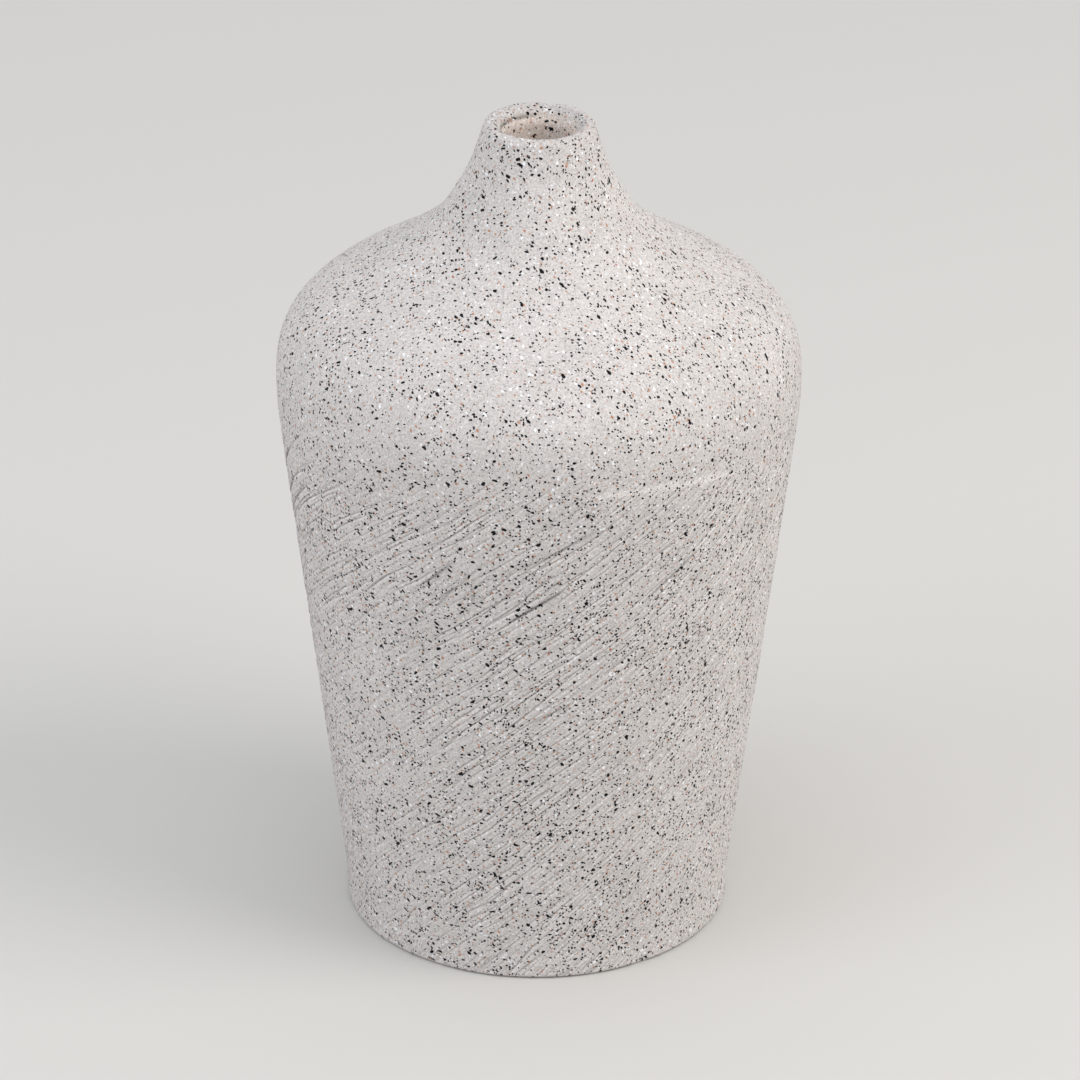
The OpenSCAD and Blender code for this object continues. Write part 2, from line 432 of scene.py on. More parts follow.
def scraper_pass(theta, z, lean, strips, rise, seed):
    """One pass of the scraper over the wall: its depth from 0 to 1, and the painted shade that it lays into
    the clay's colour, which is 1 on the steep sides and below 0, a painted highlight, on the slopes that
    catch the light.
    The wall is cut into a whole number of strips that wind up it, and each strip into strokes that
    climb by about rise. A stroke falls away steeply at the strip's upper side to a random depth,
    comes back gently across the strip, and runs out at both ends."""
    rng = np.random.default_rng(seed)
    depth = np.clip(rng.uniform(-0.45, 1.1, (strips, STROKES)), 0, 1)
    reach = rng.uniform(0.9, 2.4, (strips, STROKES)) * MM
    flat = rng.uniform(0, 0.4, (strips, STROKES))
    start = rng.uniform(0, 1, strips)

    wander = 0.8 * noise(theta, z, 9, 0.045, seed + 1) + 0.3 * noise(theta, z, 31, 0.017, seed + 2)
    x = (theta - lean * z) / TURN * strips + wander
    strip = np.floor(x).astype(int)
    across = x - strip
    strip %= strips
    y = z / rise + start[strip] * STROKES + 0.3 * noise(theta, z, 61, 0.01, seed + 3)
    stroke = np.floor(y).astype(int)
    along = y - stroke
    stroke %= STROKES
    ends = smooth(along / 0.2) * smooth((1 - along) / 0.35)
    gap = across * WALL_GIRTH / strips
    back = flat[strip, stroke] + (1 - flat[strip, stroke]) * np.exp(-gap / reach[strip, stroke])
    profile = smooth(gap / STEEP_SIDE) * back * smooth((1 - across) / 0.2)
    power = depth[strip, stroke] * ends
    # Painted shade along the steep side and a painted highlight on the slope beside it, both for the colour
    shade = np.exp(-((gap / STEEP_SIDE - 0.5) / 0.6) ** 2)
    painted_highlight = 0.45 * np.exp(-((gap / STEEP_SIDE - 2.0) / 0.8) ** 2)
    return power * profile, power * (shade - painted_highlight)


# Passes of the scraper: strips round the vase, climb of a stroke, share of the full depth and
# how much more steeply than the others it climbs
PASSES = (
    (119, 26 * MM, 0.9, 1.0),
    (78, 32 * MM, 1.0, 0.95),
    (97, 19 * MM, 0.75, 1.1),
    (187, 15 * MM, 0.42, 1.03),
    (263, 12 * MM, 0.25, 0.97),
)

# Deeper single marks: angle round the vase in degrees and height in millimetres of both ends,
# width and depth in millimetres. The last three have a negative depth: they make one bent ridge.
SCRATCHES = (
    (-7, 163, 6, 178, 0.6, 0.6),
    (-27, 175, -19, 188, 0.5, 0.4),
    (-24, 166, -19, 177, 0.5, 0.35),
    (-17, 166, -14, 176, 0.5, 0.4),
    (-4, 187, 14, 204, 0.7, 0.25),
    (24, 168, 38, 186, 0.6, 0.3),
    (-2, 118, 9, 128, 0.6, 0.3),
    (128, 150, 140, 166, 0.6, 0.4),
    (-150, 96, -136, 112, 0.6, 0.4),
    (10, 218, 31, 217, 0.8, -0.25),
    (24, 218, 43, 215, 0.8, -0.25),
    (35, 216, 51, 213, 0.7, -0.25),
)


def segment_distance(x, y, end_x, end_y):
    """Distance of points from the straight line between the origin and an end point."""
    share = np.clip((x * end_x + y * end_y) / (end_x ** 2 + end_y ** 2), 0, 1)
    return np.hypot(x - share * end_x, y - share * end_y), share


def scratches(theta, r, z):
    """Depth of the single marks: each is a groove round a straight line on the unrolled wall, with
    a bell-shaped section that thins out towards its two ends."""
    depth = np.zeros(np.broadcast(theta, z).shape)
    for start, low, end, high, width, deep in SCRATCHES:
        x = r * wrapped(theta - math.radians(start))
        end_x = r * math.radians(end - start)
        gap, share = segment_distance(x, z - low * MM, end_x, (high - low) * MM)
        taper = np.sqrt(np.clip(4 * share * (1 - share), 0, 1))
        depth += deep * MM * taper * np.exp(-(gap / (width * MM)) ** 2)
    return depth


def scraped_share(theta, z, surface):
    """How much of the scraping shows, from 0 to 1: all of it on the wall, less in calm patches, and
    an uneven fade below the smooth shoulder, which keeps only a trace."""
    edge = surface.scrape_top + 9 * MM * noise(theta, z, 11, 0.05, 40)
    edge = edge + 5 * MM * noise(theta, z, 37, 0.03, 41)
    fade = smooth((edge - z) / (24 * MM))
    left = np.exp(-(wrapped(theta - math.radians(-52)) / math.radians(34)) ** 2)
    calm = 0.78 + 0.3 * noise(theta, z, 8, 0.055, 42)
    calm = calm - 0.35 * left * smooth((190 * MM - z) / (60 * MM))
    trace = 0.26 * smooth(noise(theta, z, 7, 0.06, 43) + 0.3)
    return np.clip(fade * calm, 0, 1) + (1 - fade) * trace


def scraping(theta, z, surface):
    """Depth of all the scraping, and its painted shade and painted highlight for the colour."""
    depth, shade = 0, 0
    for i, (strips, rise, share, steep) in enumerate(PASSES):
        one, dark = scraper_pass(theta, z, surface.lean * steep, strips, rise, 100 + 10 * i)
        depth = depth + share * one
        # dark is one pass's painted shade and painted highlight
        shade = shade + share * dark
    return depth * surface.scrape_depth, shade


def bell(theta, along, r, at, place, wide, tall):
    """Bump of height 1 round a point of the surface: exp of minus the squared distance, with its
    own widths round the vase and along the walk."""
    x = r * wrapped(theta - math.radians(at)) / wide
    return np.exp(-(x ** 2 + ((along - place) / tall) ** 2))


def chip(theta, along, r, at, place, wide, tall):
    """Flat-bottomed dent of depth 1: exp of minus the sixth power of the distance."""
    x = r * wrapped(theta - math.radians(at)) / wide
    return np.exp(-(x ** 2 + ((along - place) / tall) ** 2) ** 3)


def back_left(theta):
    """How far a point stands at the back left, where the lip is torn: a smooth step of its cosine
    from that direction, 1 in the middle and 0 from about 63 degrees away."""
    return smooth(np.cos(theta - math.radians(-125)) * 2 - 0.9)


def lip_marks(theta, along, r, crown):
    """Height of the marks on the lip: the chips, a crease at the left, a ledge inside the back left
    of the crest, and the dents of fingertips all round. The crease is a groove round a straight
    line that thins out at its upper end."""
    start, crest, end = crown
    outer, inner = crest - start, end - crest
    height = np.zeros(np.broadcast(theta, along).shape)
    for at, place_on, deep, wide, tall in CHIPS:
        middle = np.interp(place_on, (0, 1, 2), crown)
        height -= deep * MM * chip(theta, along, r, at, middle, wide * MM, tall * MM)
    gap, share = segment_distance(r * wrapped(theta - math.radians(-91)), along - start + 1.5 * MM,
                                  r * math.radians(-15), 0.9 * outer)
    height -= 0.4 * MM * np.sqrt(np.clip(1.2 - share, 0, 1)) * np.exp(-(gap / (0.45 * MM)) ** 2)
    torn = back_left(theta)
    ledge = crest + LEDGE_SHARE * inner
    height += 0.6 * MM * torn * np.exp(-((along - ledge) / (0.9 * MM)) ** 2)
    height -= 0.6 * MM * torn * np.exp(-((along - ledge - LEDGE_DROP) / (0.8 * MM)) ** 2)
    near = np.exp(-(((along - crest) / (7 * MM)) ** 4))
    dents = 0.3 * noise(theta, along, 11, 5 * MM, 60) + 0.16 * noise(theta, along, 37, 2 * MM, 62)
    return height + near * dents * MM


def lip_drop(theta, z):
    """How far the rim sags: it is a little lower at the back left, and wavy."""
    low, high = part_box("lip")
    weight = smooth((z - low.z + 6 * MM) / (high.z - low.z))
    tip = 0.5 - 0.5 * np.cos(theta - math.radians(20))
    return weight * (0.35 * MM * tip + 0.12 * MM * (1 + noise(theta, z * 0, 10, 1, 61)))


def relief(theta, along, r, z, walk, surface):
    """Height of the surface above the plain outline, how scraped it is, how far inside it is, and the
    painted shading of its colour: painted shade in the scraper marks, the single marks, on the lip's crest
    and under the ledge, and painted highlight on the lit slopes of the marks and on the ridge.
    Outside it has lumps, scraping, single marks and an uneven foot; the lip has its own marks;
    inside are lumps and the level ridges of fingers. Near the axis everything fades out."""
    outer = 1 - smooth((along - walk.crown[0]) / (8 * MM))
    foot = walk.marks[0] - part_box("lower_wall")[0].z
    off_foot = smooth((along - foot) / (3 * MM))
    funnel = walk.crown[2] - walk.crown[1]
    inside = smooth((along - walk.crown[1] - 0.25 * funnel) / (0.6 * funnel))
    off_axis = smooth(r / (30 * MM))

    lumps = 0.7 * noise(theta, along, 7, 0.06, 1) + 0.3 * noise(theta, along, 17, 0.022, 2)
    height = surface.lump * lumps - outer * surface.lump
    height += inside * 0.25 * MM * noise(theta, along, 5, 0.006, 3)
    scraped = outer * off_foot * scraped_share(theta, z, surface)
    cut, shade = scraping(theta, z, surface)
    single = scratches(theta, r, z)
    height -= scraped * cut + outer * off_foot * single
    # Painted shade on the lip: the crest is darkened, and so is the clay just under the ledge at the back
    # left
    painted_rim_shade = 0.25 * np.exp(-((along - walk.crown[1] - 0.2 * funnel) / (4 * MM)) ** 2)
    under_ledge = along - walk.crown[1] - LEDGE_SHARE * funnel - LEDGE_DROP
    painted_rim_shade = painted_rim_shade + 0.9 * back_left(theta) * np.exp(-(under_ledge / (0.6 * MM)) ** 2)
    # Painted shading for the colour: above 0 is painted shade in the marks and on the lip, below 0 is
    # painted highlight on the marks' slopes and the ridge
    groove = np.clip(scraped * shade + outer * off_foot * single / (0.45 * MM) + painted_rim_shade, -0.4, 1)
    uneven = 0.3 * MM * (1 + noise(theta, along, 23, 0.005, 4))
    uneven *= 0.6 + 0.4 * noise(theta, along, 6, 0.1, 5)
    height -= uneven * np.exp(-((along - foot) / (4 * MM)) ** 2)
    height -= 0.9 * MM * bell(theta, along, r, 33, foot + 1.2 * MM, 2.4 * MM, 1.6 * MM)
    height += 0.35 * MM * bell(theta, along, r, -66, walk.crown[0] - 11 * MM, 4 * MM, 4 * MM)
    height += lip_marks(theta, along, r, walk.crown)
    under = smooth((foot - along) / (2 * MM))
    height = height * (1 - under) - under * 0.25 * MM * off_axis * smooth((foot - along) / (20 * MM))
    return height * off_axis, scraped, inside, groove


# Surfaces as grids of rows along the walk and columns round the axis

# The last field is the painted shade and painted highlight laid into the colour
Skin = namedtuple("Skin", "points normals scraped inside groove")


def twist(z, surface):
    """Angle by which a row of points is turned, so that columns run along the scraper marks on the
    wall and straight up above it: the turn grows evenly and then levels off over the belly."""
    start, end = (surface.scrape_top + offset for offset in TURN_ENDS)
    over = np.clip(z - start, 0, end - start)
    return surface.lean * (np.minimum(z, end) - over ** 2 / (2 * (end - start)))


def round_axis(theta, r, z):
    """Turns angle, radius and height into a point: (r sin theta, -r cos theta, z)."""
    return np.stack(np.broadcast_arrays(r * np.sin(theta), -r * np.cos(theta), z), axis=-1)


def column_angles(z, count, surface):
    """Angles of the columns on rows at the given heights."""
    return np.arange(count) * TURN / count + twist(z, surface)[:, None]


def skin(walk, surface, low, high, gap, columns):
    """Surface between two marks of the walk. A row beyond each end is worked out too, so that the
    normals at a joint are the same on both pieces that meet there: each is the cross product of
    the differences between neighbouring columns and neighbouring rows."""
    steps = max(3, math.ceil((high - low) / gap))
    step = (high - low) / steps
    along = low + step * np.arange(-1, steps + 2)
    r, z = (np.interp(along, walk.length, c) for c in walk.points.T)
    out_r, out_z = (np.interp(along, walk.length, c)[:, None] for c in walk.normals.T)
    theta = column_angles(z, columns, surface)
    r, z, along = r[:, None], z[:, None], along[:, None]
    height, *masks = relief(theta, along, r, z, walk, surface)
    drop = lip_drop(theta, z)
    points = round_axis(theta, r + height * out_r, z + height * out_z - drop)
    sideways = np.roll(points, -1, axis=1) - np.roll(points, 1, axis=1)
    upwards = points[2:] - points[:-2]
    normals = np.cross(sideways[1:-1], upwards)
    normals /= np.maximum(np.linalg.norm(normals, axis=2, keepdims=True), 1e-12)
    inner = slice(1, -1)
    return Skin(points[inner], normals, *(np.broadcast_to(m, height.shape)[inner] for m in masks))


def joint_skin(walk, surface, shape, from_mark, to_mark, columns):
    """The three rows inside a joint, with the V tongue in the middle that points up the wall."""
    start, end = (np.array([np.interp(walk.marks[m], walk.length, c) for c in walk.points.T])
                  for m in (from_mark, to_mark))
    across = end - start
    up = np.array((across[1], -across[0])) / np.linalg.norm(across)
    if from_mark > to_mark:
        up = -up
    shares = np.array(((1 - shape.tongue_share) / 2, 0.5, (1 + shape.tongue_share) / 2))
    rows = start + across * shares[:, None] + up * (shape.tongue * np.array((0, 1, 0)))[:, None]
    r, z = rows.T
    points = round_axis(column_angles(z, columns, surface), r[:, None], z[:, None])
    blank = np.zeros(points.shape[:2])
    return Skin(points, np.zeros_like(points), blank, blank, blank)


def stacked(*skins):
    """One skin from the rows of several, in order."""
    return Skin(*(np.concatenate(part) for part in zip(*skins)))


def band_faces(rows, columns, closed):
    """Faces between neighbouring rows, and between the last row and the first where closed. Seen
    from outside the clay, each runs counterclockwise."""
    i = np.arange(rows if closed else rows - 1)[:, None]
    j = np.arange(columns)[None, :]
    above, beside = (i + 1) % rows, (j + 1) % columns
    corners = (i * columns + j, i * columns + beside, above * columns + beside, above * columns + j)
    return np.stack(np.broadcast_arrays(*corners), axis=-1).reshape(-1, 4)


def fan_faces(first, columns, pole, outwards):
    """Triangles between a row and a point on the axis."""
    j = first + np.arange(columns)
    beside = first + (np.arange(columns) + 1) % columns
    order = (beside, j) if outwards else (j, beside)
    return np.stack((*order, np.full(columns, pole)), axis=-1)


def add_object(name, points, quads, triangles, normals, attributes):
    """Makes a mesh object from whole arrays. Where a normal is zero, or where none are given, the
    point's normal is worked out from its faces."""
    mesh = bpy.data.meshes.new(name)
    mesh.vertices.add(len(points))
    mesh.vertices.foreach_set("co", points.astype(np.float32).ravel())
    loops = np.concatenate((quads.ravel(), triangles.ravel())).astype(np.int32)
    starts = np.concatenate((np.arange(len(quads)) * 4, quads.size + np.arange(len(triangles)) * 3))
    mesh.loops.add(len(loops))
    mesh.loops.foreach_set("vertex_index", loops)
    mesh.polygons.add(len(starts))
    mesh.polygons.foreach_set("loop_start", starts.astype(np.int32))
    mesh.polygons.foreach_set("use_smooth", np.ones(len(starts), bool))
    mesh.update(calc_edges=True)
    if mesh.validate():
        raise RuntimeError(f"the mesh of {name} had faults")
    for label, values in attributes.items():
        mesh.attributes.new(label, "FLOAT", "POINT").data.foreach_set("value", values.astype(np.float32))
    if normals is not None:
        mesh.normals_split_custom_set_from_vertices(normals.astype(np.float32))
    piece = bpy.data.objects.new(name, mesh)
    bpy.context.scene.collection.objects.link(piece)
    return piece


def add_clay(name, ring, closed):
    """Object from a skin that closes on itself, or that ends in two poles on the axis."""
    rows, columns = ring.points.shape[:2]
    points, normals = (part.reshape(-1, 3) for part in (ring.points, ring.normals))
    # The last attribute is painted shade and painted highlight for the colour
    attributes = {label: getattr(ring, label).ravel() for label in ("scraped", "inside", "groove")}
    quads = band_faces(rows, columns, closed)
    triangles = np.zeros((0, 3), int)
    if not closed:
        poles = np.array([(0, 0, ring.points[i, :, 2].mean()) for i in (0, -1)])
        triangles = np.concatenate((
            fan_faces(0, columns, len(points), True),
            fan_faces((rows - 1) * columns, columns, len(points) + 1, False)))
        points, normals = np.concatenate((points, poles)), np.concatenate((normals, poles * 0))
        attributes = {label: np.append(values, values[[0, -1]]) for label, values in attributes.items()}
    return add_object(name, points, quads, triangles, normals, attributes)


def course_ring(walk, surface, shape, k):
    """Closed skin of the course above joint k: outside, upper joint, inside and lower joint."""
    gap, count = surface.row_gap, surface.wall_columns
    if COURSES[k] in ("shoulder", "neck"):
        gap, count = surface.fine_gap, surface.columns
    return stacked(
        skin(walk, surface, walk.marks[k], walk.marks[k + 1], gap, count),
        joint_skin(walk, surface, shape, k + 1, 12 - k, count),
        skin(walk, surface, walk.marks[12 - k], walk.marks[13 - k], surface.inner_gap, count),
        joint_skin(walk, surface, shape, 13 - k, k, count))


# Rows over a seam coil's front and along its back, and how deep the back lies in the wall
COIL_ROWS = 15
COIL_BACK_ROWS = 5
COIL_BEDDED = 0.5 * MM


def coil_ring(walk, surface, shape, mark, seed):
    """Skin of a seam coil: half an ellipse over the stretch of wall round an inner joint, with a
    back that lies just inside the wall. Fingertips have pressed it down at uneven steps."""
    middle = walk.marks[mark]
    ends = np.array([[np.interp(middle + side * shape.coil_reach, walk.length, c) for c in walk.points.T]
                     for side in (-1, 1)])
    chord = (ends[0] - ends[1]) / 2
    out = np.array([np.interp(middle, walk.length, c) for c in walk.normals.T])
    corner = np.array([np.interp(middle, walk.length, c) for c in walk.points.T])
    centre = ends.mean(axis=0)
    sag = float(np.dot(centre - corner, out))
    proud = max(shape.coil_proud - sag, 0.3 * shape.coil_reach)

    a = np.linspace(0, TURN / 2, COIL_ROWS)[:, None]
    theta = np.arange(surface.coil_columns)[None, :] * TURN / surface.coil_columns
    level = np.full_like(theta, middle)
    press = 0.5 + 0.5 * np.cos(31 * theta + 1.4 * noise(theta, level, 9, 1, seed))
    press = press ** 2 * (0.6 + 0.4 * noise(theta, level, 17, 1, seed + 1))
    swell = np.sin(a) ** 1.2 * proud * (1 - 0.3 * press + 0.1 * noise(theta, level, 23, 1, seed + 2))
    slide = 0.5 * MM * np.sin(a) * noise(theta, level, 13, 1, seed + 3)
    front = [centre[i] + chord[i] * np.cos(a) + out[i] * swell + chord[i] / shape.coil_reach * slide
             for i in (0, 1)]
    reach = shape.coil_reach * 0.9
    back = np.linspace(middle + reach, middle - reach, COIL_BACK_ROWS)
    embedded = [np.interp(back, walk.length, p) - COIL_BEDDED * np.interp(back, walk.length, n)
                for p, n in zip(walk.points.T, walk.normals.T)]
    r, z = (np.concatenate((f, np.repeat(e[:, None], surface.coil_columns, axis=1)))
            for f, e in zip(front, embedded))
    return round_axis(theta, r, z)


# Material nodes

def feed(tree, node, inputs):
    """Joins a node's inputs to sockets, or sets them to values, by name or number."""
    for label, value in inputs.items():
        if isinstance(value, bpy.types.NodeSocket):
            tree.links.new(value, node.inputs[label])
        else:
            node.inputs[label].default_value = value


def put(tree, kind, inputs=None, **settings):
    """Adds a node in the next place of a loose grid, with its settings and inputs."""
    node = tree.nodes.new(kind)
    node.location = (190 * (len(tree.nodes) % 12), -260 * (len(tree.nodes) // 12))
    for label, value in settings.items():
        setattr(node, label, value)
    feed(tree, node, inputs or {})
    return node


def sum_of(tree, operation, a, b=0.0, c=0.0, clamp=False):
    """Output of a Math node."""
    node = put(tree, "ShaderNodeMath", {0: a, 1: b, 2: c}, operation=operation, use_clamp=clamp)
    return node.outputs[0]


def vector_of(tree, operation, a, b=(0, 0, 0)):
    """Output of a Vector Math node on two vectors."""
    return put(tree, "ShaderNodeVectorMath", {0: a, 1: b}, operation=operation).outputs[0]


def dot(tree, a, b):
    """Dot product of two vectors."""
    return put(tree, "ShaderNodeVectorMath", {0: a, 1: b}, operation="DOT_PRODUCT").outputs["Value"]


def scaled(tree, vector, factor):
    """Vector times a number."""
    return put(tree, "ShaderNodeVectorMath", {0: vector, "Scale": factor}, operation="SCALE").outputs[0]


def ramp(tree, value, low, high, to_low=0.0, to_high=1.0, soft=True):
    """Value carried from one range to another, by a smooth step or by a straight line."""
    node = put(tree, "ShaderNodeMapRange", {
        "Value": value, "From Min": low, "From Max": high, "To Min": to_low, "To Max": to_high,
    }, interpolation_type="SMOOTHSTEP" if soft else "LINEAR")
    return node.outputs[0]


def mixed(tree, share, a, b, mode="MIX"):
    """Output of a Mix node on two colours."""
    node = put(tree, "ShaderNodeMix", {0: share, 6: a, 7: b}, data_type="RGBA", blend_type=mode)
    return node.outputs[2]


def cloud(tree, position, size, detail=2.0, roughness=0.5):
    """Noise texture whose features are about as large as size."""
    node = put(tree, "ShaderNodeTexNoise", {
        "Vector": position, "Scale": 1 / size, "Detail": detail, "Roughness": roughness})
    return node.outputs["Fac"]


def new_group(name, inputs, outputs):
    """Empty shader node group with the given sockets; each input is a name, a type and a default."""
    tree = bpy.data.node_groups.new(name, "ShaderNodeTree")
    for label, kind, default in inputs:
        socket = tree.interface.new_socket(name=label, in_out="INPUT", socket_type=f"NodeSocket{kind}")
        if default is not None:
            socket.default_value = default
    for label, kind in outputs:
        tree.interface.new_socket(name=label, in_out="OUTPUT", socket_type=f"NodeSocket{kind}")
    source, sink = tree.nodes.new("NodeGroupInput"), tree.nodes.new("NodeGroupOutput")
    return tree, source.outputs, sink.inputs


def place(tree, group, inputs):
    """Places a group in a tree, with its inputs, and returns its outputs."""
    node = tree.nodes.new("ShaderNodeGroup")
    node.node_tree = group
    feed(tree, node, inputs)
    return node.outputs


def grains_group():
    """Grains of one sort in the clay. Space is cut into random cells, and a share of the cells holds
    a grain: the points nearer to the cell's seed than its own random radius, in cell sizes. Each
    grain is longer by Stretch along its own random direction, and the cell's walls cut it off
    square. Distance is sqrt(|v|^2 - (1 - 1 / Stretch^2) (v . direction)^2)."""
    tree, given, result = new_group("Grog Grains", (
        ("Position", "Vector", None), ("Cell", "Float", 2 * MM), ("Share", "Float", 0.5),
        ("Smallest", "Float", 0.1), ("Largest", "Float", 0.25), ("Softness", "Float", 0.02),
        ("Stretch", "Float", 1.0),
    ), (("Mask", "Float"), ("Shade", "Float")))
    in_cells = scaled(tree, given["Position"], sum_of(tree, "DIVIDE", 1.0, given["Cell"]))
    cells = put(tree, "ShaderNodeTexVoronoi", {"Vector": in_cells, "Scale": 1.0}).outputs
    chance = put(tree, "ShaderNodeSeparateColor", {0: cells["Color"]}).outputs
    radius = ramp(tree, chance[1], 0, 1, given["Smallest"], given["Largest"], soft=False)
    offset = vector_of(tree, "SUBTRACT", in_cells, cells["Position"])
    direction = vector_of(tree, "NORMALIZE", vector_of(tree, "SUBTRACT", cells["Color"], (0.5, 0.5, 0.5)))
    lengthwise = dot(tree, offset, direction)
    saved = sum_of(tree, "SUBTRACT", 1.0, sum_of(tree, "POWER", given["Stretch"], -2.0))
    squared = sum_of(tree, "SUBTRACT", dot(tree, offset, offset), sum_of(
        tree, "MULTIPLY", sum_of(tree, "MULTIPLY", lengthwise, lengthwise), saved))
    edge = sum_of(tree, "SUBTRACT", radius, sum_of(tree, "SQRT", squared))
    inside = sum_of(tree, "DIVIDE", edge, given["Softness"], clamp=True)
    chosen = sum_of(tree, "LESS_THAN", chance[0], given["Share"])
    tree.links.new(sum_of(tree, "MULTIPLY", inside, chosen), result["Mask"])
    tree.links.new(chance[2], result["Shade"])
    return tree


def scraper_group():
    """Fine lines inside the scraper marks, as a height from 0 to 1. Each point is carried straight
    out to one common radius and turned back by the lean of the marks, so that a mark's points fall
    together; there the height is random from cell to cell, with streaks between."""
    tree, given, result = new_group("Scraper Lines", (
        ("Position", "Vector", None), ("Lean", "Float", 13.4), ("Radius", "Float", 90 * MM),
        ("Gap", "Float", 2 * MM),
    ), (("Height", "Float"),))
    place_z = put(tree, "ShaderNodeSeparateXYZ", {0: given["Position"]}).outputs[2]
    flat = vector_of(tree, "MULTIPLY", given["Position"], (1, 1, 0))
    unit = vector_of(tree, "NORMALIZE", flat)
    rim = scaled(tree, unit, given["Radius"])
    turn = sum_of(tree, "MULTIPLY", place_z, given["Lean"])
    turned = put(tree, "ShaderNodeVectorRotate", {
        "Vector": rim, "Angle": sum_of(tree, "MULTIPLY", turn, -1.0),
    }, rotation_type="Z_AXIS").outputs[0]
    slow = put(tree, "ShaderNodeCombineXYZ", {2: sum_of(tree, "MULTIPLY", place_z, 0.14)}).outputs[0]
    stroke = scaled(tree, vector_of(tree, "ADD", turned, slow), sum_of(tree, "DIVIDE", 1.0, given["Gap"]))
    steps = put(tree, "ShaderNodeTexVoronoi", {"Vector": stroke, "Scale": 1.0})
    level = put(tree, "ShaderNodeSeparateColor", {0: steps.outputs["Color"]}).outputs[0]
    streaks = put(tree, "ShaderNodeTexNoise", {
        "Vector": stroke, "Scale": 1.9, "Detail": 3.0, "Roughness": 0.6}).outputs["Fac"]
    height = sum_of(tree, "ADD", sum_of(tree, "MULTIPLY", level, 0.5), sum_of(
        tree, "MULTIPLY", streaks, 0.8))
    tree.links.new(height, result["Height"])
    return tree


# Sorts of grain: colour, cell, share, smallest and largest radius in cell sizes, stretch, and the
# faintest and the strongest that one shows. Each is laid over the ones before it.
GRAINS = (
    ("White", 2.2 * MM, 0.50, 0.10, 0.28, 1.6, 0.45, 1.00),
    ("White", 1.2 * MM, 0.50, 0.13, 0.34, 1.7, 0.35, 1.00),
    ("Dark", 0.95 * MM, 0.40, 0.12, 0.28, 1.6, 0.20, 0.75),
    ("Rust", 1.9 * MM, 0.46, 0.13, 0.29, 1.6, 0.45, 1.00),
)

# Sorts of black grain: cell, share, smallest and largest radius in cell sizes, and stretch. They
# are specks, flakes, short fibres and a few large flakes.
BLACK_GRAINS = (
    (1.2 * MM, 0.52, 0.11, 0.37, 2.1),
    (2.4 * MM, 0.42, 0.10, 0.26, 2.2),
    (3.2 * MM, 0.40, 0.05, 0.10, 4.5),
    (4.2 * MM, 0.34, 0.08, 0.19, 2.2),
)

# Size of the wandering of a grain's edge; cell of the rings of black grains, and a ring's radius
# and width in cell sizes
RAGGED = 0.8 * MM
RING_CELL = 15 * MM
RING_RADIUS = 0.14
RING_WIDTH = 0.045


